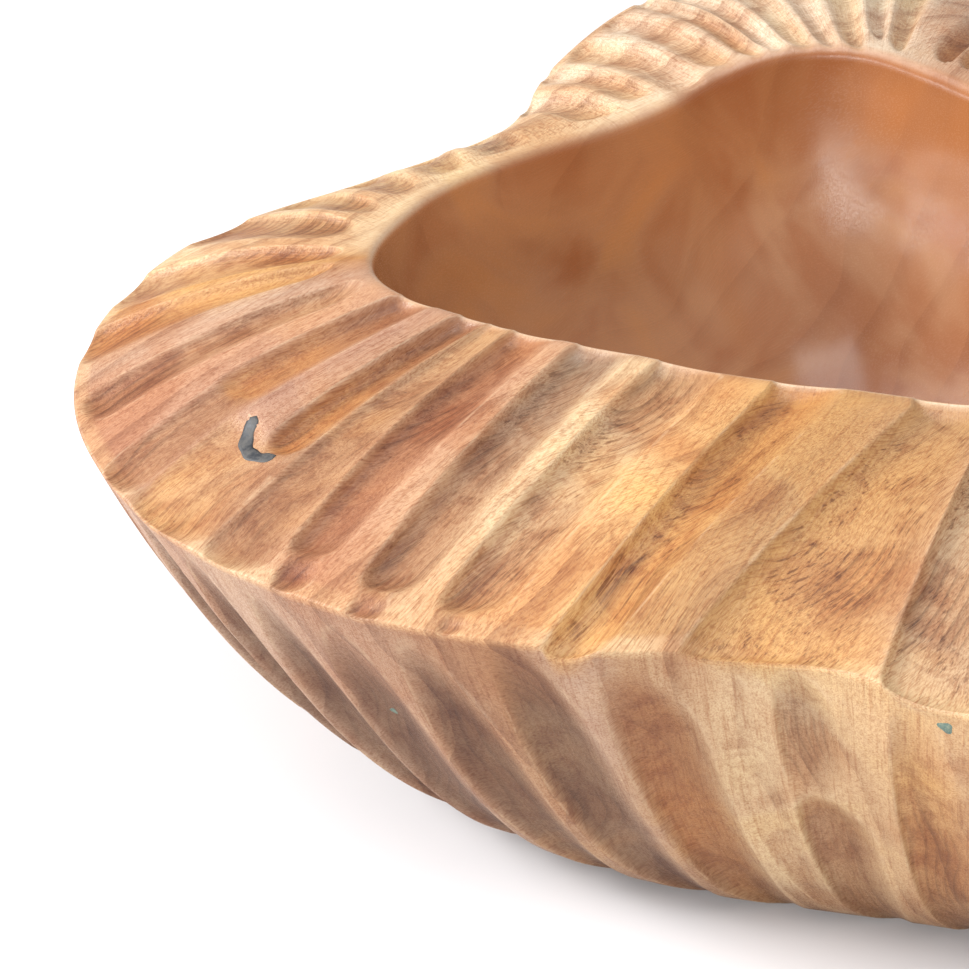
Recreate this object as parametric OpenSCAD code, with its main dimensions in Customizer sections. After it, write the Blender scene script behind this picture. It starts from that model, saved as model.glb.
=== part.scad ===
// Free-form carved wooden bowl: a softly lobed block of timber with a smooth hollow, a broad
// gouged rim that falls to a crisp outer ridge, and a gouged underside that tucks in to a flat foot.
// The origin is on the table, on the axis of the hollow. +Z is up, and the widest lobe points to -X.

/* [Size] */
// Overall width, from the tip of one side lobe to the other
bowl_w = 385; // [300:5:480]
// Height of the rim beside the mouth
bowl_h = 112; // [96:1:140]
// Timber left under the middle of the hollow
floor_t = 20; // [14:1:28]
// How far the rim rises above the straight line from mouth to ridge
rim_crown = 3; // [0:0.5:5]
// Radius of the rounded lip around the mouth
lip_r = 4; // [2:0.5:6]

/* [Gouging] */
// Gouge cuts around the rim, and again around the underside
gouges = 66; // [48:2:80]
// Depth of a cut in the rim
rim_cut = 2; // [0.4:0.2:3]
// Depth of a cut in the underside
side_cut = 2.4; // [0.4:0.2:3.6]

/* [Fillings] */
// Width of the filled drying check in the rim
check_w = 2.6; // [1.6:0.2:4]
// Depth of the fillings below the surface around them
filling_d = 4; // [3:0.5:6]

/* [Hidden] */

TIMBER = "#c9905c";
CHECK_GREY = "#6f6a6b";
STAIN_TEAL = "#8fa79c";

// The size that the stations below are drawn at.
DRAWN_W = 385;
DRAWN_H = 112;
k_plan = bowl_w / DRAWN_W;
k_height = bowl_h / DRAWN_H;

// The lines of the bowl, one station every 15 degrees from +X: mouth radius, mouth height,
// ridge radius, ridge height, foot radius, and the angle by which a rim cut swings on its way
// from the mouth to the ridge.
STATIONS = [
    [116, 112, 188, 100, 118,   4],  // right lobe
    [106, 112, 178, 100, 112,   8],
    [ 90, 111, 156,  99, 102,   6],
    [ 76, 109, 136,  99,  92,   0],
    [ 70, 108, 126, 102,  86,  -6],  // back right hollow
    [ 71, 112, 134, 109,  90,  -5],
    [ 76, 115, 148, 113,  96,   0],  // back lobe
    [ 77, 115, 138, 112,  94,   4],
    [ 76, 112, 125, 111,  88,   6],
    [ 75, 109, 116, 106,  80,   2],
    [ 83, 107, 110, 101,  78,  -5],  // back left pinch
    [ 98, 107, 134,  97,  86, -11],
    [116, 108, 176,  95, 106,  -9],
    [129, 109, 200,  92, 116,   1],  // left lobe
    [114, 110, 202,  91, 126,   4],
    [100, 111, 190,  91, 128,   5],
    [ 93, 111, 172,  91, 130,  -4],
    [ 89, 111, 157,  91, 130, -14],  // front hollow
    [ 93, 112, 174,  92, 132, -10],
    [ 98, 112, 188,  92, 136,  -2],  // front lobe
    [ 94, 112, 178,  92, 132,   4],
    [ 92, 112, 162,  94, 122,   6],
    [100, 112, 164,  96, 116,  -4],
    [114, 112, 182,  98, 118,  -3],
];
MOUTH_R = 0;
MOUTH_H = 1;
RIDGE_R = 2;
RIDGE_H = 3;
FOOT_R = 4;
RIM_SWING = 5;

// The underside cuts swing by this angle between the ridge and the foot.
SIDE_SWING = 10;
// The hollow is a bowl of revolution stretched to the mouth, cut off at this angle from its pole.
HOLLOW_END = 78;
// The underside is a quadratic curve whose middle point is this far out from the foot and up.
UNDER_OUT = 0.6;
UNDER_UP = 0.05;
// Fraction of a cut's depth that is left where it runs out over the ridge, and how fast a cut in the
// rim deepens away from the mouth and from the ridge.
RIDGE_SHARE = 0.4;
MOUTH_SLOPE = 4;
RIDGE_SLOPE = 3;
// The blank reaches this far below the table, and is then planed off flat.
PLANED = 2;
FAR = 2 * bowl_w;

COLUMNS_PER_CUT = 3;
columns = gouges * COLUMNS_PER_CUT;

// Where the rings of the surface lie on each stretch, from 0 at its start to 1 at its end.
HOLLOW_RINGS = [0.16, 0.34, 0.52, 0.69, 0.84, 0.95];
LIP_RINGS = [0, 0.5, 1];
RIM_RINGS = [0.15, 0.4, 0.7, 1];
UNDER_RINGS = [0.08, 0.24, 0.42, 0.6, 0.8, 1];

// The filled check is a short hook: an arc of a circle with this middle, radius and span.
CHECK_MIDDLE = [-144 * k_plan, -87.5 * k_plan];
CHECK_R = 7;
CHECK_FROM = 135;
CHECK_SPAN = 135;
CHECK_TOP = 100 * k_height;

// Each filled pin hole: azimuth, height above the table, radius of the hole.
PIN_HOLES = [[265.5, 86, 1.8], [227, 57, 1.2]];

// Value of one column of the stations at any azimuth, on a closed Catmull-Rom curve.
function station(column, azimuth) =
    let (
        count = len(STATIONS),
        place = azimuth * count / 360,
        first = floor(place),
        t = place - first,
        p = [for (i = [-1:2]) STATIONS[(first + i + count) % count][column]]
    )
    p[1] + t / 2 * (p[2] - p[0] + t * (2 * p[0] - 5 * p[1] + 4 * p[2] - p[3]
        + t * (3 * (p[1] - p[2]) + p[3] - p[0])));

function polar(azimuth, r, z) = [k_plan * r * cos(azimuth), k_plan * r * sin(azimuth), k_height * z];

function mix(a, b, t) = a * (1 - t) + b * t;

// A cut keeps its own azimuth at the ridge, and swings away from it towards the mouth and the foot.
function mouth_azimuth(azimuth) = azimuth - station(RIM_SWING, azimuth);
function foot_azimuth(azimuth) = azimuth + SIDE_SWING;

// 0 on the lip between two cuts, close to 1 along the middle of a cut.
function cut_shape(azimuth) =
    let (place = azimuth * gouges / 360)
    sin(180 * (place - floor(place)));

// The hollow, from its middle to the lower edge of the lip.
function hollow_point(azimuth, t) =
    let (
        edge_h = station(MOUTH_H, azimuth) - lip_r,
        a = t * HOLLOW_END,
        rise = (1 - cos(a)) / (1 - cos(HOLLOW_END))
    )
    polar(azimuth, station(MOUTH_R, azimuth) * sin(a) / sin(HOLLOW_END), mix(floor_t, edge_h, rise));

// A quarter circle from the hollow's edge up on to the rim.
function lip_point(azimuth, t) =
    polar(azimuth, station(MOUTH_R, azimuth) + lip_r * (1 - cos(90 * t)),
        station(MOUTH_H, azimuth) - lip_r * (1 - sin(90 * t)));

function ridge_point(azimuth) = polar(azimuth, station(RIDGE_R, azimuth), station(RIDGE_H, azimuth));

function foot_point(azimuth) = polar(azimuth, station(FOOT_R, azimuth), 0);

// The rim, along a cut from the lip to the ridge.
function rim_point(azimuth, t) =
    let (depth = rim_cut * cut_shape(azimuth) * min(1, MOUTH_SLOPE * t, RIDGE_SHARE + RIDGE_SLOPE * (1 - t)))
    mix(lip_point(mouth_azimuth(azimuth), 1), ridge_point(azimuth), t)
        + [0, 0, rim_crown * sin(180 * t) - depth];

// The underside, along a cut from the ridge to the foot. A cut goes in towards the axis.
function under_point(azimuth, t) =
    let (
        ridge = ridge_point(azimuth),
        foot = foot_point(foot_azimuth(azimuth)),
        plan = mix(foot, ridge, UNDER_OUT),
        middle = [plan.x, plan.y, UNDER_UP * ridge.z],
        p = mix(mix(ridge, middle, t), mix(middle, foot, t), t),
        inwards = [p.x, p.y, 0] / norm([p.x, p.y])
    )
    p - side_cut * cut_shape(azimuth) * sin(180 * t) * inwards;

// Rings of points from the middle of the hollow, over the rim, to below the foot.
function blank_rings() =
    let (azimuths = [for (i = [0:columns - 1]) 360 * i / columns])
    [
        for (t = HOLLOW_RINGS) [for (a = azimuths) hollow_point(mouth_azimuth(a), t)],
        for (t = LIP_RINGS) [for (a = azimuths) lip_point(mouth_azimuth(a), t)],
        for (t = RIM_RINGS) [for (a = azimuths) rim_point(a, t)],
        for (t = UNDER_RINGS) [for (a = azimuths) under_point(a, t)],
        [for (a = azimuths) under_point(a, 1) - [0, 0, PLANED]],
    ];

// Joins the rings with triangles, and closes both ends on a middle point.
module skin(rings, first_middle, last_middle) {
    points = [first_middle, for (r = rings, p = r) p, last_middle];
    last = len(points) - 1;
    start_of_last = last - columns;
    faces = [
        for (i = [0:columns - 1]) [0, 1 + i, 1 + (i + 1) % columns],
        for (r = [0:len(rings) - 2], i = [0:columns - 1])
            let (
                a = 1 + r * columns + i,
                b = 1 + r * columns + (i + 1) % columns
            )
            each [[a, a + columns, b], [b, a + columns, b + columns]],
        for (i = [0:columns - 1]) [last, start_of_last + (i + 1) % columns, start_of_last + i],
    ];
    polyhedron(points, faces, convexity = 6);
}

// The carved block, before its foot is planed flat.
module blank() {
    skin(blank_rings(), [0, 0, k_height * floor_t], [0, 0, -PLANED]);
}

module below_table() {
    translate([-FAR / 2, -FAR / 2, -FAR]) cube(FAR);
}

// The space that the filled check takes, open above the rim.
module check_space() {
    translate([CHECK_MIDDLE.x, CHECK_MIDDLE.y, CHECK_TOP - filling_d])
        rotate(CHECK_FROM)
            rotate_extrude(angle = CHECK_SPAN, $fn = 48)
                translate([CHECK_R - check_w / 2, 0]) square([check_w, 4 * filling_d]);
}

// The space of the filled pin holes, drilled in towards the axis of the bowl.
module pin_spaces() {
    for (hole = PIN_HOLES) {
        wall = under_point(hole[0], 1 - sqrt(hole[1] / station(RIDGE_H, hole[0])));
        translate([0, 0, k_height * hole[1]])
            rotate(hole[0])
                translate([norm([wall.x, wall.y]) - filling_d - side_cut, 0, 0])
                    rotate([0, 90, 0]) cylinder(r = hole[2], h = 4 * filling_d, $fn = 32);
    }
}

module bowl_body() {
    color(TIMBER)
        difference() {
            blank();
            below_table();
            check_space();
            pin_spaces();
        }
}

module check_filler() {
    color(CHECK_GREY)
        intersection() {
            blank();
            check_space();
        }
}

module stain_plugs() {
    color(STAIN_TEAL)
        intersection() {
            blank();
            pin_spaces();
        }
}

bowl_body();
check_filler();
stain_plugs();
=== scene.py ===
"""Looks of the free-form carved bowl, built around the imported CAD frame. The bowl's lines are those of the
CAD model; the individual gouge cuts, the timber and the light are made here. The bowl and its fillings are
worked out in millimetres and degrees, and scaled by MM when their meshes are made. The textures, the floor,
the lamps and the camera are in metres."""

from dataclasses import dataclass

import bpy
import numpy as np
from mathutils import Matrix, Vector
from mathutils.bvhtree import BVHTree


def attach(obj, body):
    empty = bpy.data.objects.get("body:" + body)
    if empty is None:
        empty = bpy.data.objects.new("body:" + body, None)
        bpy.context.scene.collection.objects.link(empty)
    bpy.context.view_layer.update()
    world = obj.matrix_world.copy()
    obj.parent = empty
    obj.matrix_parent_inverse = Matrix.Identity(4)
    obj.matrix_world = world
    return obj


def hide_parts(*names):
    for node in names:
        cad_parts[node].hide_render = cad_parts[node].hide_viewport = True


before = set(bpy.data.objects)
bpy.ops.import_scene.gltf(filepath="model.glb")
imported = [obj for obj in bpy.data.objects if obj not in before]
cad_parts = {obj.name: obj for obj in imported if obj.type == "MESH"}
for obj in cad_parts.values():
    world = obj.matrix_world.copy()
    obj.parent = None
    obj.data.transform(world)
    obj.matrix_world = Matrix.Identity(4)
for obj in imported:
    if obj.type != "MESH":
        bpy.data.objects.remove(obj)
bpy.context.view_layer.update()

MM = 0.001

# ---------------------------------------------------------------- the bowl's lines, as in the CAD model

# One station every 15 degrees from +X: mouth radius, mouth height, ridge radius, ridge height, foot
# radius, and the angle by which a rim cut swings on its way from the mouth to the ridge.
STATIONS = np.array([
    [116, 112, 188, 100, 118,   4],
    [106, 112, 178, 100, 112,   8],
    [ 90, 111, 156,  99, 102,   6],
    [ 76, 109, 136,  99,  92,   0],
    [ 70, 108, 126, 102,  86,  -6],
    [ 71, 112, 134, 109,  90,  -5],
    [ 76, 115, 148, 113,  96,   0],
    [ 77, 115, 138, 112,  94,   4],
    [ 76, 112, 125, 111,  88,   6],
    [ 75, 109, 116, 106,  80,   2],
    [ 83, 107, 110, 101,  78,  -5],
    [ 98, 107, 134,  97,  86, -11],
    [116, 108, 176,  95, 106,  -9],
    [129, 109, 200,  92, 116,   1],
    [114, 110, 202,  91, 126,   4],
    [100, 111, 190,  91, 128,   5],
    [ 93, 111, 172,  91, 130,  -4],
    [ 89, 111, 157,  91, 130, -14],
    [ 93, 112, 174,  92, 132, -10],
    [ 98, 112, 188,  92, 136,  -2],
    [ 94, 112, 178,  92, 132,   4],
    [ 92, 112, 162,  94, 122,   6],
    [100, 112, 164,  96, 116,  -4],
    [114, 112, 182,  98, 118,  -3],
], float)
MOUTH_R, MOUTH_H, RIDGE_R, RIDGE_H, FOOT_R, RIM_SWING = range(6)
SIDE_SWING = 10
HOLLOW_END = np.radians(78)
UNDER_OUT = 0.6
UNDER_UP = 0.05
FLOOR_T = 20
RIM_CROWN = 3
LIP_R = 4
# The lip is sharpest at this azimuth. A power of 1 is a round lip, and one near 0 a square corner.
FRONT_LIP = 262
ARRIS = 0.35


def station(column, azimuth):
    """Value of one column of the stations at any azimuth, on a closed Catmull-Rom curve."""
    count = len(STATIONS)
    place = np.asarray(azimuth, float) * count / 360
    first = np.floor(place).astype(int)
    t = place - first
    p = [STATIONS[(first + i) % count, column] for i in (-1, 0, 1, 2)]
    cubic = 2 * p[0] - 5 * p[1] + 4 * p[2] - p[3] + t * (3 * (p[1] - p[2]) + p[3] - p[0])
    return p[1] + t / 2 * (p[2] - p[0] + t * cubic)


def polar(azimuth, r, z):
    angle = np.radians(azimuth)
    return np.stack([r * np.cos(angle), r * np.sin(angle), z + 0 * angle], -1)


def mix(a, b, t):
    return a * (1 - t) + b * t


def mouth_azimuth(azimuth):
    return azimuth - station(RIM_SWING, azimuth)


def hollow_point(azimuth, t):
    edge_h = station(MOUTH_H, azimuth) - LIP_R
    angle = t * HOLLOW_END
    rise = (1 - np.cos(angle)) / (1 - np.cos(HOLLOW_END))
    r = station(MOUTH_R, azimuth) * np.sin(angle) / np.sin(HOLLOW_END)
    return polar(azimuth, r, mix(FLOOR_T, edge_h, rise))


def lip_sharpness(azimuth):
    """0 where the lip is round, 1 where it is almost an arris."""
    front = (1 + np.cos(np.radians(azimuth - FRONT_LIP))) / 2
    return np.clip(1.6 * front - 0.5, 0, 1)


def lip_point(azimuth, t):
    """A quarter turn from the hollow on to the rim: round at the back, almost an arris at the front."""
    angle = t * np.pi / 2
    power = mix(1, ARRIS, lip_sharpness(azimuth))
    r = station(MOUTH_R, azimuth) + LIP_R * (1 - np.cos(angle) ** power)
    return polar(azimuth, r, station(MOUTH_H, azimuth) - LIP_R * (1 - np.sin(angle) ** power))


def ridge_point(azimuth):
    return polar(azimuth, station(RIDGE_R, azimuth), station(RIDGE_H, azimuth))


def rim_point(azimuth, t):
    p = mix(lip_point(mouth_azimuth(azimuth), 1), ridge_point(azimuth), t)
    p[..., 2] += RIM_CROWN * np.sin(np.pi * t)
    return p


def under_point(azimuth, t):
    ridge = ridge_point(azimuth)
    foot = polar(azimuth + SIDE_SWING, station(FOOT_R, azimuth + SIDE_SWING), 0)
    middle = mix(foot, ridge, UNDER_OUT)
    middle[..., 2] = UNDER_UP * ridge[..., 2]
    return mix(mix(ridge, middle, t), mix(middle, foot, t), t)


# ---------------------------------------------------------------- colours of the timber

def srgb(r, g, b):
    """A colour seen on the timber, from 0 to 255, as the linear value that a shader takes."""
    c = np.array([r, g, b]) / 255
    return np.where(c <= 0.04045, c / 12.92, ((c + 0.055) / 1.055) ** 2.4)


TINTS = {
    "pale": srgb(250, 228, 200),
    "ash": srgb(214, 178, 150),
    "amber": srgb(242, 192, 130),
    "gold": srgb(222, 170, 106),
    "honey": srgb(205, 144, 82),
    "cream": srgb(244, 212, 168),
    "pink": srgb(216, 166, 130),
    "tan": srgb(204, 160, 118),
    "brown": srgb(172, 122, 84),
    "red": srgb(172, 112, 76),
    "dark": srgb(146, 94, 68),
    "grey": srgb(160, 138, 118),
    "sage": srgb(206, 176, 140),
    # Umber is also mixed in as painted shade towards the foot.
    "umber": srgb(126, 92, 64),
    "olive": srgb(196, 154, 104),
    "ochre": srgb(194, 150, 101),
    "sand": srgb(234, 194, 146),
    "mauve": srgb(196, 152, 128),
    "rust": srgb(174, 112, 60),
    # Painted shade in the floors of the two deepest cuts at the left of the underside.
    "crescent_shade": srgb(104, 76, 54),
    "polish": srgb(200, 140, 96),
    # Painted shade under the lip of the hollow, and painted light half way up its far wall.
    "painted_shade_amber": srgb(176, 106, 58),
    "painted_light_copper": srgb(232, 174, 130),
}

# ---------------------------------------------------------------- gouge cuts

# 1 for a cut with equal walls, less for one with its first wall steeper.
TILT = 0.62


@dataclass
class Cut:
    """One pass of the gouge. left and right are the azimuths of its lips where it starts, left_end and
    right_end where it ends; start and end are places along the rim or the underside, from 0 to 1."""

    left: float
    right: float
    left_end: float
    right_end: float
    start: float
    end: float
    depth: float
    tint: str
    end_tint: str = ""
    run_in: float = 0.14
    run_out: float = 0.09

    def share(self, azimuth, t):
        """How far a point is into the cut: 1 along the middle, 0 on its lips and below 0 outside."""
        along = np.clip((t - self.start) / (self.end - self.start), 0, 1)
        middle = mix((self.left + self.right) / 2, (self.left_end + self.right_end) / 2, along)
        half = mix((self.right - self.left) / 2, (self.right_end - self.left_end) / 2, along)
        across = ((azimuth - middle + 180) % 360 - 180) / half
        # The gouge was held over to one side, so that the first wall of a cut is the steep one.
        tilted = 2 * np.clip((across + 1) / 2, 0, 1) ** TILT - 1
        across = np.where(np.abs(across) < 1, tilted, across)
        before_start = np.clip(1 - (t - self.start) / self.run_in, 0, None)
        after_end = np.clip(1 - (self.end - t) / self.run_out, 0, None)
        return 1 - across ** 2 - np.maximum(before_start, after_end) ** 2


@dataclass
class SideCut(Cut):
    """A cut in the underside, which comes in slowly below the ridge and runs out slowly to the foot."""

    run_in: float = 0.26
    run_out: float = 0.6


# A cut that ends here bites over the ridge.
PAST_RIDGE = 1.03
# A cut that starts here runs right through the lip into the hollow.
THROUGH_LIP = -0.22
# A cut takes this much of its own tint, and the rest is the timber around it.
TINT_SHARE = 0.75
# The lip's quarter turn is this long, on the rim's scale from 0 to 1.
LIP_SHARE = 0.05

# The rim's cuts from the left lobe round to the front, where each one is its own.
RIM_CUTS = [
    Cut(152.6, 157.6, 153.0, 158.0, 0.05, 0.95, 1.5, "sage"),
    Cut(158.6, 163.4, 159.0, 163.8, 0.05, 0.95, 1.6, "olive", run_in=0.3),
    Cut(164.4, 168.8, 164.4, 168.6, 0.08, 0.96, 1.6, "olive", run_in=0.3),
    Cut(170.0, 173.8, 169.4, 173.2, 0.12, 0.98, 1.7, "olive", run_in=0.3),
    Cut(174.5, 180.0, 174.0, 179.7, 0.10, PAST_RIDGE, 2.1, "olive", "tan", run_in=0.24),
    Cut(181.2, 187.6, 182.8, 188.2, 0.08, PAST_RIDGE, 2.3, "honey", "tan"),
    Cut(189.4, 194.4, 189.8, 194.4, 0.08, PAST_RIDGE, 2.2, "gold", "honey"),
    Cut(197.4, 201.6, 197.8, 201.6, 0.02, 0.98, 2.4, "tan", "brown"),
    Cut(203.4, 208.2, 204.4, 209.0, THROUGH_LIP, 0.62, 3.2, "dark", "honey"),
    Cut(204.4, 208.6, 205.8, 210.0, 0.44, 1.01, 2.2, "brown", "tan"),
    Cut(211.0, 215.4, 212.6, 216.0, THROUGH_LIP, 0.68, 3.3, "dark", "honey"),
    Cut(208.0, 215.4, 209.8, 216.8, 0.61, 1.02, 2.2, "tan", "gold", run_in=0.06),
    Cut(215.2, 218.6, 216.6, 221.2, -0.1, 1.01, 1.8, "tan", "brown"),
    Cut(218.2, 223.8, 220.9, 224.2, THROUGH_LIP, 0.90, 3.0, "red"),
    Cut(221.4, 224.2, 221.8, 224.3, 0.86, 1.01, 1.7, "red"),
    Cut(225.1, 230.2, 226.4, 230.2, THROUGH_LIP, 0.93, 3.2, "grey", "brown"),
    Cut(226.9, 229.7, 227.0, 229.7, 0.91, 1.02, 1.8, "red"),
    Cut(231.9, 237.4, 231.4, 235.6, THROUGH_LIP, 0.94, 2.8, "sage", "tan"),
    Cut(232.4, 234.6, 232.5, 234.6, 0.92, 1.01, 1.5, "red"),
    Cut(241.0, 246.6, 238.9, 242.6, THROUGH_LIP, 1.05, 3.3, "honey", "gold"),
    Cut(252.0, 259.4, 247.0, 260.8, THROUGH_LIP, 1.04, 3.6, "ochre", "gold"),
    Cut(259.0, 266.6, 261.0, 268.0, THROUGH_LIP, PAST_RIDGE, 3.2, "sage", "sage"),
]
# The underside's cuts over the same stretch.
SIDE_CUTS = [
    # The first two cuts are tinted with painted shade.
    SideCut(205.0, 209.2, 204.0, 209.0, 0.00, 0.96, 3.8, "crescent_shade"),
    SideCut(209.6, 213.8, 208.8, 214.0, 0.01, 0.96, 4.0, "crescent_shade"),
    SideCut(214.0, 218.2, 212.8, 218.6, 0.02, 0.96, 4.0, "umber"),
    SideCut(219.0, 223.6, 218.3, 224.4, 0.03, 0.96, 4.0, "umber"),
    SideCut(223.9, 229.0, 223.5, 230.2, 0.04, 0.96, 3.8, "umber"),
    SideCut(229.0, 234.2, 231.6, 237.4, 0.03, 0.96, 3.6, "umber"),
    SideCut(234.8, 240.6, 239.0, 244.9, 0.00, 0.96, 3.6, "umber"),
    SideCut(241.6, 247.8, 245.7, 252.0, 0.03, 0.98, 4.2, "rust", run_in=0.14),
    SideCut(248.2, 252.6, 252.6, 256.0, 0.01, 0.80, 1.0, "cream", "tan"),
    SideCut(253.0, 258.2, 253.6, 258.4, 0.02, 0.28, 2.2, "sage", "tan", run_in=0.1, run_out=0.12),
    SideCut(253.6, 259.8, 255.7, 261.8, 0.27, 0.97, 3.6, "brown", "tan", run_in=0.08),
    SideCut(261.3, 266.8, 263.7, 269.4, 0.02, 0.97, 3.2, "gold", "brown"),
]
# From this azimuth round the back to the first cut above, the cuts only follow the same manner.
UNSEEN_FROM = 268.5
UNSEEN_TO = 360 + 151.5
BACK_LOBE_FROM = 360 + 76
UNSEEN_SIDE_TO = 360 + 204

rng = np.random.default_rng(7)


def unseen_cuts(kind, start, stop, widths, ribs, depths, ends, tints):
    """Cuts of varying width and depth with ribs between them, from one azimuth round to another."""
    cuts = []
    azimuth = start
    while azimuth + widths[1] < stop:
        width = rng.uniform(*widths)
        taper = rng.uniform(0.75, 1.05)
        lean = rng.uniform(-0.8, 0.8)
        middle = azimuth + width / 2
        tint, end_tint = rng.choice(tints, 2)
        cuts.append(kind(
            azimuth, azimuth + width,
            middle + lean - taper * width / 2, middle + lean + taper * width / 2,
            rng.uniform(-0.1, 0.1), rng.choice(ends), rng.uniform(*depths), str(tint), str(end_tint),
        ))
        azimuth += width + rng.uniform(*ribs)
    return cuts


RIM_ENDS = (0.92, 0.98, PAST_RIDGE, PAST_RIDGE)
RIM_CUTS += unseen_cuts(Cut, UNSEEN_FROM, BACK_LOBE_FROM, (3.6, 6.2), (0.2, 1.6), (2.2, 3.2), RIM_ENDS,
                        ["tan", "honey", "brown", "red", "gold", "pink"])
RIM_CUTS += unseen_cuts(Cut, BACK_LOBE_FROM, UNSEEN_TO, (4.4, 7.0), (0.1, 1.2), (1.8, 2.8), RIM_ENDS,
                        ["sand", "cream", "pale", "pale"])
SIDE_CUTS += unseen_cuts(SideCut, UNSEEN_FROM + 2, UNSEEN_SIDE_TO, (3.8, 6.0), (0.2, 1.0), (3.4, 4.6),
                         (0.95, 0.97), ["umber", "brown", "umber", "dark"])


def carve(cuts, azimuth, t, base):
    """Depth of the deepest cut at each point, how far into it the point is, and the colour there. A
    point outside all cuts has a negative value for how far it is in."""
    depth = np.zeros(azimuth.shape)
    into = np.full(azimuth.shape, -1.0)
    colour = base.copy()
    for cut in cuts:
        share = cut.share(azimuth, t)
        deeper = share * cut.depth > depth
        depth = np.where(deeper, share * cut.depth, depth)
        into = np.where(deeper, share, np.where(depth > 0, into, np.maximum(into, share)))
        # The second tint takes over along the middle of the cut, and both fade out near its lips.
        along = np.clip((t - cut.start) / (cut.end - cut.start), 0, 1)
        tint = mix(TINTS[cut.tint], TINTS[cut.end_tint or cut.tint], np.clip(1.6 * along - 0.3, 0, 1))
        weight = np.clip(share * 1.3 + 0.1, 0, 1) * deeper
        colour = mix(colour, tint, TINT_SHARE * weight[..., None])
    return depth, into, colour


def around(azimuth, stops):
    """Colour at each azimuth, blended between (azimuth, tint) stops that go once round."""
    places = np.array([stop[0] for stop in stops], float)
    colours = np.array([TINTS[stop[1]] for stop in stops])
    turned = (azimuth - places[0]) % 360
    places = np.append(places - places[0], 360)
    colours = np.vstack([colours, colours[:1]])
    return np.stack([np.interp(turned, places, colours[:, c]) for c in range(3)], -1)


# The colours of the timber round the bowl, from which the cuts differ.
RIM_COLOURS = [
    (0, "tan"), (30, "gold"), (60, "pink"), (84, "pale"), (125, "pale"), (150, "cream"), (180, "cream"),
    (188, "gold"), (196, "ash"), (201, "pink"), (209, "mauve"), (218, "tan"), (224, "pink"), (231, "cream"),
    (238, "amber"), (242, "gold"), (248, "ochre"), (256, "tan"), (266, "tan"), (300, "gold"), (330, "pink"),
]
SIDE_COLOURS = [
    (0, "brown"), (60, "tan"), (120, "brown"), (180, "tan"), (205, "ash"), (226, "ash"), (236, "tan"),
    (241, "ash"), (244, "tan"), (251, "cream"), (262, "sand"), (300, "brown"), (330, "tan"),
]


def wobble(azimuth, t, height):
    """Slow unevenness that a hand leaves on a surface, as a sum of a few waves."""
    return height * (
        np.sin(np.radians(7 * azimuth + 140 * t))
        + 0.7 * np.sin(np.radians(17 * azimuth - 310 * t) + 1.3)
        + 0.5 * np.sin(np.radians(31 * azimuth + 500 * t) + 4.1)
    )


# ---------------------------------------------------------------- the mesh of the bowl

# The side towards the camera has finer columns than the rest.
FINE_FROM, FINE_TO, FINE_STEP, COARSE_STEP = 168, 276, 0.2, 0.72
# Coordinates that follow the cuts, which the streaks use: a cylinder of this radius, with the rim unrolled
# to this length.
FLOW_R, RIM_LENGTH = 150, 90


def azimuth_columns():
    fine = np.arange(FINE_FROM, FINE_TO, FINE_STEP)
    coarse_span = 360 - (FINE_TO - FINE_FROM)
    coarse = FINE_TO + np.linspace(0, coarse_span, round(coarse_span / COARSE_STEP), endpoint=False)
    return np.concatenate([fine, coarse])


def closed_steps(count, power=1.0):
    """count places above 0 and up to 1, which crowd towards 1 for a power below 1."""
    return (np.arange(1, count + 1) / count) ** power


@dataclass
class Row:
    """One ring of points round the bowl. into_cut is as carve() gives it, polished is from 0 to 1, and
    along is how far down the cuts the ring lies: 0 at the mouth, 1 at the ridge and more below it. A
    single value stands for the whole ring."""

    points: np.ndarray
    colour: np.ndarray
    into_cut: np.ndarray
    polished: float
    along: float


HOLLOW_STEPS = closed_steps(18, 0.8)
LIP_STEPS = closed_steps(7)
RIM_STEPS = np.concatenate([0.96 * closed_steps(45), [0.975, 0.99, 1]])
UNDER_STEPS = np.concatenate([[0.012, 0.03], np.linspace(0.05, 1, 32)])
# Azimuth of the far wall of the hollow, which is redder under the lip with painted shade and paler half way
# up with painted light.
FAR_WALL = 70
# Height of the unevenness of the rim and of the underside.
RIM_WOBBLE = 0.18
SIDE_WOBBLE = 0.2
# The underside is this many times as long as the rim.
SIDE_LENGTH = 1.4


def hollow_colours(azimuth):
    """Three colours at each azimuth of the hollow: at its floor, half way up, paler with painted light on
    the far wall, and under the lip, with painted shade.
    """
    far = np.clip(1.6 * np.cos(np.radians(azimuth - FAR_WALL)), 0, 1)[:, None]
    floor = np.broadcast_to(TINTS["polish"], (len(azimuth), 3))
    return floor, mix(floor, TINTS["painted_light_copper"], 0.8 * far), mix(floor, TINTS["painted_shade_amber"], 0.2 + 0.4 * far)


def hollow_rows(azimuth):
    floor, lit_halfway, shaded_under_lip = hollow_colours(azimuth)
    rows = []
    for t in HOLLOW_STEPS:
        # Painted light half way up the far wall, then painted shade under the lip.
        colour = mix(floor, lit_halfway, np.exp(-((t - 0.62) / 0.16) ** 2))
        colour = mix(colour, shaded_under_lip, np.clip((t - 0.76) / 0.14, 0, 1))
        rows.append(Row(hollow_point(mouth_azimuth(azimuth), t), colour, -1, 1, t - 1))
    return rows


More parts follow.
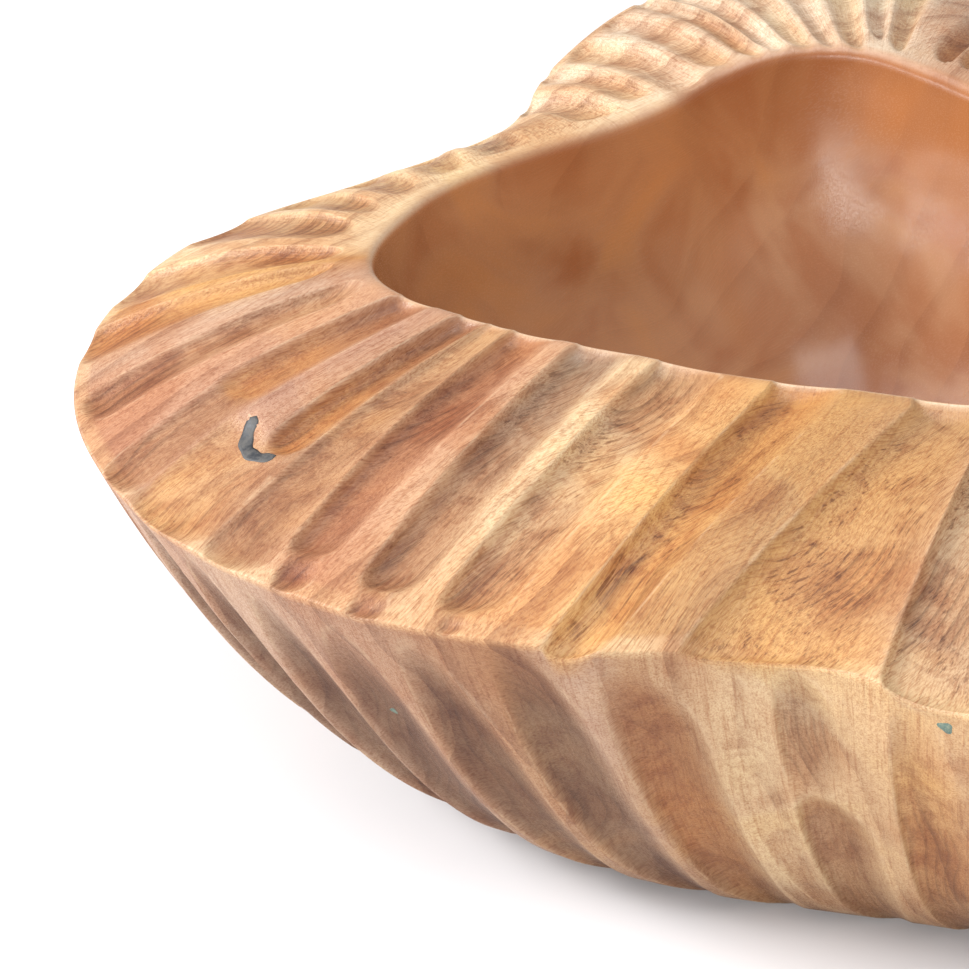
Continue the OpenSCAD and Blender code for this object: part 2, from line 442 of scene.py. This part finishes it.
def lip_rows(azimuth):
    """The lip, where the cuts that run through it fade out, and whose arris is worn pale with a painted
    highlight.
    """
    mouth = mouth_azimuth(azimuth)
    arris = lip_sharpness(mouth)[:, None]
    shaded_under_lip = hollow_colours(azimuth)[2]
    rim_colour = around(azimuth, RIM_COLOURS)
    rows = []
    for t in LIP_STEPS:
        along = LIP_SHARE * (t - 1)
        depth, into, colour = carve(RIM_CUTS, azimuth, along, rim_colour)
        # The lip's hollow side starts in the painted shade from under the lip.
        colour = mix(shaded_under_lip, colour, np.clip(1.4 * t - 0.4, 0, 1))
        # Worn pale arris with a painted highlight, strongest at the front where the lip is sharp.
        colour = mix(colour, TINTS["pale"], 0.7 * arris * np.exp(-((t - 0.6) / 0.15) ** 2))
        points = lip_point(mouth, t)
        points[..., 2] -= depth * t ** 3
        rows.append(Row(points, colour, mix(-1, into, t), 1 - 0.6 * t, along))
    return rows


def rim_rows(azimuth):
    """The rim, worn pale with a painted highlight where it meets the ridge."""
    rim_colour = around(azimuth, RIM_COLOURS)
    rows = []
    for t in RIM_STEPS:
        # A worn pale band along the ridge, which also paints the ridge's highlight.
        rubbed_and_lit = np.clip((t - 0.94) / 0.04, 0, 0.6)
        depth, into, colour = carve(RIM_CUTS, azimuth, t, mix(rim_colour, TINTS["cream"], rubbed_and_lit))
        points = rim_point(azimuth, t)
        points[..., 2] += wobble(azimuth, t, RIM_WOBBLE) * np.sin(np.pi * t) - depth
        rows.append(Row(points, colour, into, 0.4 * np.clip(1 - 8 * t, 0, 1), t))
    return rows


def underside_rows(azimuth):
    """The underside, notched by the rim cuts that run over the ridge, with painted shade towards the foot.
    """
    side_colour = around(azimuth, SIDE_COLOURS)
    rows = []
    for t in UNDER_STEPS:
        notch, _, colour = carve(RIM_CUTS, azimuth, 1 + t, side_colour)
        depth, into, colour = carve(SIDE_CUTS, azimuth, t, colour)
        # Painted shade, deepening towards the foot.
        colour = mix(colour, TINTS["umber"], 0.9 * np.clip((t - 0.45) / 0.55, 0, 1))
        points = under_point(azimuth, t)
        points[..., 2] -= notch
        inwards = points[..., :2] / np.linalg.norm(points[..., :2], axis=-1, keepdims=True)
        depth = depth + wobble(azimuth, t, SIDE_WOBBLE) * np.sin(np.pi * t)
        points[..., :2] -= depth[..., None] * inwards
        rows.append(Row(points, colour, into, 0, 1 + SIDE_LENGTH * t))
    return rows


def grid_faces(rows, columns):
    """Quads between the rows of a closed skin, and the two fans that close its ends."""
    first = 1
    last = first + rows * columns
    step = np.arange(columns)
    following = (step + 1) % columns
    faces = [(0, first + a, first + b) for a, b in zip(step, following)]
    for row in range(rows - 1):
        low = first + row * columns
        high = low + columns
        faces += [(low + a, high + a, high + b, low + b) for a, b in zip(step, following)]
    base = first + (rows - 1) * columns
    faces += [(last, base + b, base + a) for a, b in zip(step, following)]
    return faces


ATTRIBUTE_FIELD = {"FLOAT": "value", "FLOAT_COLOR": "color", "FLOAT_VECTOR": "vector"}


def add_attribute(mesh, name, kind, values):
    made = mesh.attributes.new(name, kind, "POINT")
    made.data.foreach_set(ATTRIBUTE_FIELD[kind], values.astype(np.float32).ravel())


def link(name, mesh):
    piece = bpy.data.objects.new(name, mesh)
    bpy.context.scene.collection.objects.link(piece)
    return piece


def smooth_piece(name, points, faces):
    """A smooth piece from points in millimetres."""
    mesh = bpy.data.meshes.new(name)
    mesh.from_pydata((np.array(points) * MM).tolist(), [], faces)
    mesh.shade_smooth()
    return link(name, mesh)


def make_bowl():
    azimuth = azimuth_columns()
    rows = hollow_rows(azimuth) + lip_rows(azimuth) + rim_rows(azimuth) + underside_rows(azimuth)

    def every_point(field, first, last):
        """One field of all rows, with its value at the two middle points that close the skin."""
        values = [np.broadcast_to(getattr(row, field), azimuth.shape) for row in rows]
        return np.concatenate([[first], *values, [last]])

    points = np.concatenate([[[0, 0, FLOOR_T]], *[row.points for row in rows], [[0, 0, 0]]])
    colours = np.concatenate([[TINTS["polish"]], *[row.colour for row in rows], [TINTS["brown"]]])
    turned = np.concatenate([[0], np.tile(azimuth, len(rows)), [0]])
    flow = polar(turned, FLOW_R, RIM_LENGTH * every_point("along", -1, 1 + SIDE_LENGTH))
    piece = smooth_piece("carved_bowl", points, grid_faces(len(rows), len(azimuth)))
    add_attribute(piece.data, "tint", "FLOAT_COLOR", np.column_stack([colours, np.ones(len(colours))]))
    add_attribute(piece.data, "into_cut", "FLOAT", every_point("into_cut", -1, -1))
    add_attribute(piece.data, "polished", "FLOAT", every_point("polished", 1, 0))
    add_attribute(piece.data, "flow", "FLOAT_VECTOR", flow * MM)
    return piece


# ---------------------------------------------------------------- shader helpers


class Nodes:
    """A short way to write a material's node tree."""

    def __init__(self, name):
        self.material = bpy.data.materials.new(name)
        self.material.use_nodes = True
        self.tree = self.material.node_tree
        self.shader = self.tree.nodes["Principled BSDF"]

    def add(self, kind, inputs=None, **settings):
        node = self.tree.nodes.new(kind)
        for key, value in settings.items():
            setattr(node, key, value)
        for key, value in (inputs or {}).items():
            self.feed(node.inputs[key], value)
        return node

    def feed(self, socket, value):
        if isinstance(value, bpy.types.NodeSocket):
            self.tree.links.new(value, socket)
        else:
            socket.default_value = value

    def math(self, operation, a, b=0.0):
        return self.add("ShaderNodeMath", {0: a, 1: b}, operation=operation).outputs[0]

    def product(self, first, *others):
        for other in others:
            first = self.math("MULTIPLY", first, other)
        return first

    def noise(self, vector, scale, detail=3.0, roughness=0.5, distortion=0.0):
        inputs = {"Vector": vector, "Scale": scale, "Detail": detail, "Roughness": roughness,
                  "Distortion": distortion}
        return self.add("ShaderNodeTexNoise", inputs).outputs["Fac"]

    def scaled(self, vector, scale):
        return self.add("ShaderNodeMapping", {"Vector": vector, "Scale": scale}).outputs[0]

    def ramp(self, value, low, high, to_low=0.0, to_high=1.0):
        inputs = {"Value": value, "From Min": low, "From Max": high, "To Min": to_low, "To Max": to_high}
        return self.add("ShaderNodeMapRange", inputs, interpolation_type="SMOOTHSTEP").outputs[0]

    def blend(self, a, b, share, kind="MIX"):
        node = self.add("ShaderNodeMix", data_type="RGBA", blend_type=kind)
        self.feed(node.inputs[0], share)
        self.feed(node.inputs[6], a)
        self.feed(node.inputs[7], b)
        return node.outputs[2]

    def stain(self, colour, stain, share):
        return self.blend(colour, stain, share, "MULTIPLY")

    def attribute(self, name, output):
        return self.add("ShaderNodeAttribute", attribute_name=name).outputs[output]

    def bump(self, height, strength, distance, normal=None):
        inputs = {"Height": height, "Strength": strength, "Distance": distance}
        if normal is not None:
            inputs["Normal"] = normal
        return self.add("ShaderNodeBump", inputs).outputs[0]


def rgba(colour):
    return (*[float(c) for c in colour], 1.0)


# What the colours of the timber are multiplied by, from slow patches down to single pores.
PATCH = rgba(srgb(224, 186, 152))
LAYER = rgba(srgb(160, 118, 82))
HAIR = rgba(srgb(150, 118, 84))
RING = rgba(srgb(150, 132, 112))
FIBRE = rgba(srgb(198, 158, 126))
DASH = rgba(srgb(206, 164, 130))
SPECKLE = rgba(srgb(206, 174, 146))
GRIME = rgba(srgb(196, 150, 116))
PORE = rgba(srgb(130, 90, 66))
# A warm glow between the patches, and the colour of a lip worn pale by hands, with a painted highlight. It
# is palest where into_cut has this value, just outside the cut.
GLOW = rgba(srgb(255, 214, 150))
WEAR_AND_HIGHLIGHT = rgba(srgb(248, 216, 176))
WEAR_AND_HIGHLIGHT_LINE = -0.03
# The fibres run at this angle from +X and rise at this slope, in radians.
FIBRE_TURN = 0.66
FIBRE_SLOPE = 0.12
# They swirl about this often in a metre, by up to half this many metres.
SWIRL_SCALE = 15.0
SWIRL = 0.036
# The timber reflects this much of the tints above, which are colours as the bright studio shows them.
SHADE = 0.58


def trunk_place(n, place):
    """Coordinates in the trunk, with X along its fibres, which swirl slowly."""
    noise = n.add("ShaderNodeTexNoise", {"Vector": place, "Scale": SWIRL_SCALE, "Detail": 1.0})
    swirl = n.add("ShaderNodeVectorMath", {0: noise.outputs["Color"], 1: (0.5, 0.5, 0.5)},
                  operation="SUBTRACT").outputs[0]
    swirl = n.add("ShaderNodeVectorMath", {0: swirl, "Scale": SWIRL}, operation="SCALE").outputs[0]
    trunk = n.add("ShaderNodeVectorMath", {0: place, 1: swirl}, operation="ADD").outputs[0]
    turn = (0.0, FIBRE_SLOPE, -FIBRE_TURN)
    return n.add("ShaderNodeMapping", {"Vector": trunk, "Rotation": turn}).outputs[0]


def growth(n, trunk, stretch, scale, distortion, detail, detail_scale):
    """Growth layers across the trunk, each one darkening to a sharp edge."""
    return n.add("ShaderNodeTexWave", {
        "Vector": n.scaled(trunk, (stretch, 1, 1)), "Scale": scale, "Distortion": distortion,
        "Detail": detail, "Detail Scale": detail_scale, "Detail Roughness": 0.5,
    }, bands_direction="Y", wave_profile="SAW").outputs["Fac"]


def timber_colour(n, place, trunk, polished, fibre, dashes, pores):
    patch = n.noise(place, 24.0, 3.0, 0.55, 0.8)
    blotch = n.noise(place, 75.0, 4.0, 0.65, 1.2)
    speckle = n.noise(place, 850.0, 2.0, 0.6)
    hair = n.noise(n.scaled(trunk, (12, 1500, 1500)), 1.0, 3.0, 0.6)
    layers = growth(n, trunk, 0.35, 30.0, 5.0, 2.0, 0.8)
    rings = growth(n, trunk, 0.5, 120.0, 36.0, 1.0, 0.16)

    # Masks: the underside, the front and right where lines show most, the cut floors, all but the hollow.
    along_x, along_y = n.add("ShaderNodeSeparateXYZ", {0: place}).outputs[:2]
    down_cuts = n.add("ShaderNodeSeparateXYZ", {0: n.attribute("flow", "Vector")}).outputs[2]
    underside = n.ramp(down_cuts, RIM_LENGTH * MM, 1.04 * RIM_LENGTH * MM)
    front = n.ramp(along_y, 0.0, 0.09, 1.0, 0.4)
    right = n.ramp(along_x, -0.14, -0.07, 0.3, 1.0)
    into_cut = n.attribute("into_cut", "Fac")
    cut_floor = n.ramp(into_cut, 0.0, 0.8)
    outside = n.math("SUBTRACT", 1.0, polished)

    colour = n.stain(n.attribute("tint", "Color"), PATCH, n.ramp(patch, 0.42, 0.66, 0.0, 0.65))
    colour = n.blend(colour, GLOW, n.ramp(patch, 0.5, 0.3, 0.0, 0.25), "SOFT_LIGHT")
    colour = n.stain(colour, LAYER, n.product(
        n.ramp(layers, 0.55, 1.0),
        n.ramp(patch, 0.38, 0.62, 0.08, 0.4),
        n.ramp(polished, 0.0, 1.0, 1.0, 0.4)))
    colour = n.stain(colour, HAIR, n.product(
        n.ramp(hair, 0.52, 0.66),
        n.ramp(blotch, 0.42, 0.58, 0.1, 0.9),
        n.ramp(cut_floor, 0.0, 1.0, 0.3, 0.8),
        n.ramp(underside, 0.0, 1.0, 1.0, 0.3),
        front, right, outside))
    colour = n.stain(colour, RING, n.product(
        n.ramp(rings, 0.5, 1.0),
        n.ramp(patch, 0.46, 0.56),
        n.ramp(underside, 0.0, 1.0, 0.48, 0.3),
        cut_floor, front, outside))
    colour = n.stain(colour, FIBRE, n.product(n.ramp(fibre, 0.42, 0.7, 0.0, 0.6), outside))
    colour = n.stain(colour, DASH, n.product(n.ramp(dashes, 0.5, 0.7, 0.0, 0.4), outside))
    colour = n.stain(colour, SPECKLE, n.product(n.ramp(speckle, 0.48, 0.64, 0.0, 0.3), outside))
    colour = n.stain(colour, GRIME, n.product(cut_floor, n.ramp(blotch, 0.46, 0.62, 0.0, 0.4)))
    colour = n.stain(colour, PORE, n.product(pores, outside, 0.3))

    # Cut lips worn pale, with a painted highlight.
    from_lip = n.math("ABSOLUTE", n.math("SUBTRACT", into_cut, WEAR_AND_HIGHLIGHT_LINE))
    colour = n.blend(colour, WEAR_AND_HIGHLIGHT, n.product(
        n.ramp(from_lip, 0.14, 0.02),
        n.ramp(blotch, 0.42, 0.62, 0.0, 0.24),
        n.ramp(underside, 0.0, 1.0, 1.0, 0.9)))
    return n.stain(colour, rgba([SHADE] * 3), 1.0)


def timber():
    """Waxed hardwood: growth rings, hair lines and fibres, pores, worn lips with a painted highlight and a
    polished hollow.
    """
    n = Nodes("timber")
    place = n.add("ShaderNodeTexCoord").outputs["Object"]
    trunk = trunk_place(n, place)
    polished = n.attribute("polished", "Fac")
    # Noise drawn out along the fibres, and along the cuts for the dashes.
    fibre = n.noise(n.scaled(trunk, (130, 2900, 2900)), 1.0, 3.0, 0.6)
    dashes = n.noise(n.scaled(n.attribute("flow", "Vector"), (1500, 1500, 90)), 1.0, 2.0, 0.6)
    pores = n.ramp(n.noise(n.scaled(trunk, (900, 3200, 3200)), 1.0, 1.0), 0.7, 0.78)

    roughness = n.math("SUBTRACT", n.ramp(fibre, 0.3, 0.7, 0.42, 0.58), n.product(polished, 0.26))
    height = n.math("ADD", n.product(dashes, 0.8), n.product(fibre, 0.6))
    height = n.math("SUBTRACT", height, n.product(pores, 0.5))
    height = n.product(height, n.ramp(polished, 0.0, 1.0, 1.0, 0.04))
    # The hollow swells a little where the scraper passed, which breaks up its highlight.
    swell = n.product(n.noise(place, 42.0, 1.0, 0.4), polished)
    normal = n.bump(height, 0.5, 0.0006, n.bump(swell, 0.8, 0.0012))

    n.feed(n.shader.inputs["Base Color"], timber_colour(n, place, trunk, polished, fibre, dashes, pores))
    n.feed(n.shader.inputs["Roughness"], roughness)
    n.feed(n.shader.inputs["Normal"], normal)
    n.shader.inputs["IOR"].default_value = 1.45
    n.shader.inputs["Specular IOR Level"].default_value = 0.5
    return n.material


def filling(name, dark, light, scale):
    """Filler rubbed into a check or pin hole: mottled, and less glossy than the timber."""
    n = Nodes(name)
    place = n.add("ShaderNodeTexCoord").outputs["Object"]
    mottle = n.noise(place, scale, 4.0, 0.7)
    colour = n.blend(rgba(dark), rgba(light), n.ramp(mottle, 0.35, 0.65))
    n.feed(n.shader.inputs["Base Color"], colour)
    n.feed(n.shader.inputs["Roughness"], n.ramp(mottle, 0.3, 0.7, 0.5, 0.75))
    n.feed(n.shader.inputs["Normal"], n.bump(mottle, 0.4, 0.0004))
    return n.material


# ---------------------------------------------------------------- fillings

CHECK_MIDDLE = Vector((-144, -87.5, 0))
CHECK_R = 7
CHECK_FROM = 135
CHECK_SPAN = 135
CHECK_W = 2.9
# Each filled pin hole: azimuth, height above the table, radius.
PIN_HOLES = [(265.5, 86, 1.8), (227, 57, 1.2)]
# A filling stands this proud in its middle, and reaches this deep.
PROUD = 0.15
FILLING_D = 2.5
# The rings of a plug: share of its radius, and height above the timber.
PLUG_RINGS = [(1.0, -FILLING_D), (1.0, -0.1), (0.8, 0.02), (0.45, PROUD)]
PLUG_SIDES = 20
# The rays that look for the timber start this high, or this far from the axis.
ABOVE_RIM = 200
OUTSIDE_BOWL = 300


def closed_strip(top, bottom):
    """Points and faces of a slab between two matching grids, with its four sides closed."""
    rows, columns = top.shape[:2]
    points = np.concatenate([top.reshape(-1, 3), bottom.reshape(-1, 3)])
    under = rows * columns
    faces = []
    for r in range(rows - 1):
        for c in range(columns - 1):
            near = r * columns + c
            far = near + columns
            faces.append((near, near + 1, far + 1, far))
            faces.append((under + near, under + far, under + far + 1, under + near + 1))
    edge = [(0, c) for c in range(columns)] + [(r, columns - 1) for r in range(1, rows)]
    edge += [(rows - 1, c) for c in range(columns - 2, -1, -1)] + [(r, 0) for r in range(rows - 2, 0, -1)]
    loop = [r * columns + c for r, c in edge]
    for a, b in zip(loop, loop[1:] + loop[:1]):
        faces.append((b, a, under + a, under + b))
    return points, faces


def make_check(tree):
    """The hooked check: a bent strip laid on the rim where a ray from above meets it."""
    along = np.linspace(0, 1, 25)
    across = np.linspace(-1, 1, 7)
    top = np.zeros((len(along), len(across), 3))
    for i, s in enumerate(along):
        angle = np.radians(CHECK_FROM + CHECK_SPAN * s)
        # Blunt ends, a little more width where it starts, and an uneven edge.
        blunt = np.sqrt(np.clip(1 - (2 * s - 1) ** 10, 0.02, 1))
        half = CHECK_W / 2 * blunt * (1.15 - 0.2 * s + 0.12 * np.sin(23 * s))
        for j, w in enumerate(across):
            r = CHECK_R + half * w
            above = CHECK_MIDDLE + Vector((r * np.cos(angle), r * np.sin(angle), ABOVE_RIM))
            hit = tree.ray_cast(above * MM, Vector((0, 0, -1)))[0]
            top[i, j] = np.array(hit) / MM + [0, 0, PROUD * (1 - w * w)]
    return smooth_piece("check_filling", *closed_strip(top, top - [0, 0, FILLING_D]))


def plug(tree, azimuth, height, radius):
    """Points and faces of a domed plug, set in where a ray towards the axis meets the underside."""
    outwards = Vector((np.cos(np.radians(azimuth)), np.sin(np.radians(azimuth)), 0))
    hit, normal = tree.ray_cast((outwards * OUTSIDE_BOWL + Vector((0, 0, height))) * MM, -outwards)[:2]
    side = normal.cross(Vector((0, 0, 1))).normalized()
    up = normal.cross(side).normalized()
    points = []
    for share, out in PLUG_RINGS:
        for turn in np.linspace(0, 2 * np.pi, PLUG_SIDES, endpoint=False):
            uneven = 1 + 0.18 * np.sin(3 * turn + azimuth)
            across = (side * np.cos(turn) + up * np.sin(turn)) * (radius * share * uneven)
            points.append(hit / MM + across + normal * out)
    points += [hit / MM - normal * FILLING_D, hit / MM + normal * PROUD]
    last_ring = (len(PLUG_RINGS) - 1) * PLUG_SIDES
    inner_middle, outer_middle = len(points) - 2, len(points) - 1
    faces = []
    for i in range(PLUG_SIDES):
        j = (i + 1) % PLUG_SIDES
        faces.append((inner_middle, j, i))
        for low in range(0, last_ring, PLUG_SIDES):
            high = low + PLUG_SIDES
            faces.append((low + i, low + j, high + j, high + i))
        faces.append((last_ring + i, last_ring + j, outer_middle))
    return points, faces


def make_plugs(tree):
    """The filled pin holes, as one mesh of small plugs."""
    points, faces = [], []
    for hole in PIN_HOLES:
        plug_points, plug_faces = plug(tree, *hole)
        faces += [tuple(len(points) + i for i in face) for face in plug_faces]
        points += plug_points
    return smooth_piece("pin_hole_plugs", points, faces)


def place_piece(piece, node, material):
    piece.data.materials.append(material)
    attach(piece, "root")
    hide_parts(node)


bowl = make_bowl()
place_piece(bowl, "bowl_body", timber())
surface = BVHTree.FromPolygons(
    [v.co for v in bowl.data.vertices], [tuple(p.vertices) for p in bowl.data.polygons])
place_piece(make_check(surface), "check_filler",
            filling("grey_filler", srgb(28, 32, 38), srgb(70, 68, 66), 420.0))
place_piece(make_plugs(surface), "stain_plugs",
            filling("teal_filler", srgb(64, 90, 84), srgb(112, 122, 106), 1400.0))

# ---------------------------------------------------------------- floor, light and camera

FLOOR_REACH = 6.0
FLOOR_COLOUR = (0.62, 0.61, 0.62, 1)
WORLD_STRENGTH = 0.62
# All lamps point at the middle of the bowl.
LAMP_AIM = Vector((0, 0, 0.08))
# The photograph looks down at the front of the bowl, at 35 degrees below level, with a long lens.
CAMERA_PLACE = (-0.100, -0.492, 0.370)
CAMERA_TILT = 90 - 35
LENS_MM = 84.7
SENSOR_MM = 36


def make_floor():
    mesh = bpy.data.meshes.new("floor")
    corners = [(x * FLOOR_REACH, y * FLOOR_REACH, 0) for x, y in [(-1, -1), (1, -1), (1, 1), (-1, 1)]]
    mesh.from_pydata(corners, [], [(0, 1, 2, 3)])
    floor = link("floor", mesh)
    n = Nodes("floor")
    n.shader.inputs["Base Color"].default_value = FLOOR_COLOUR
    n.shader.inputs["Roughness"].default_value = 0.9
    floor.data.materials.append(n.material)


def make_lamp(name, place, size, watts):
    lamp = bpy.data.lights.new(name, "AREA")
    lamp.shape = "RECTANGLE"
    lamp.size, lamp.size_y = size
    lamp.energy = watts
    holder = bpy.data.objects.new(name, lamp)
    holder.location = place
    holder.rotation_euler = (LAMP_AIM - Vector(place)).to_track_quat("-Z", "Y").to_euler()
    bpy.context.scene.collection.objects.link(holder)


def make_world():
    world = bpy.data.worlds.new("studio")
    world.use_nodes = True
    world.node_tree.nodes["Background"].inputs["Color"].default_value = (1, 1, 1, 1)
    world.node_tree.nodes["Background"].inputs["Strength"].default_value = WORLD_STRENGTH
    bpy.context.scene.world = world


def make_camera():
    camera = bpy.data.cameras.new("camera")
    camera.sensor_width = SENSOR_MM
    camera.lens = LENS_MM
    camera.clip_start = 0.01
    holder = bpy.data.objects.new("camera", camera)
    holder.location = CAMERA_PLACE
    holder.rotation_euler = (np.radians(CAMERA_TILT), 0, 0)
    bpy.context.scene.collection.objects.link(holder)
    bpy.context.scene.camera = holder


make_floor()
make_world()
make_lamp("key", (-1.3, 0.0, 0.8), (0.45, 0.45), 34)
make_lamp("front", (-0.25, -1.35, 0.45), (1.5, 0.32), 14)
make_lamp("overhead", (0.15, -0.35, 1.5), (1.2, 1.0), 16)
make_camera()
bpy.context.scene.view_settings.view_transform = "Standard"
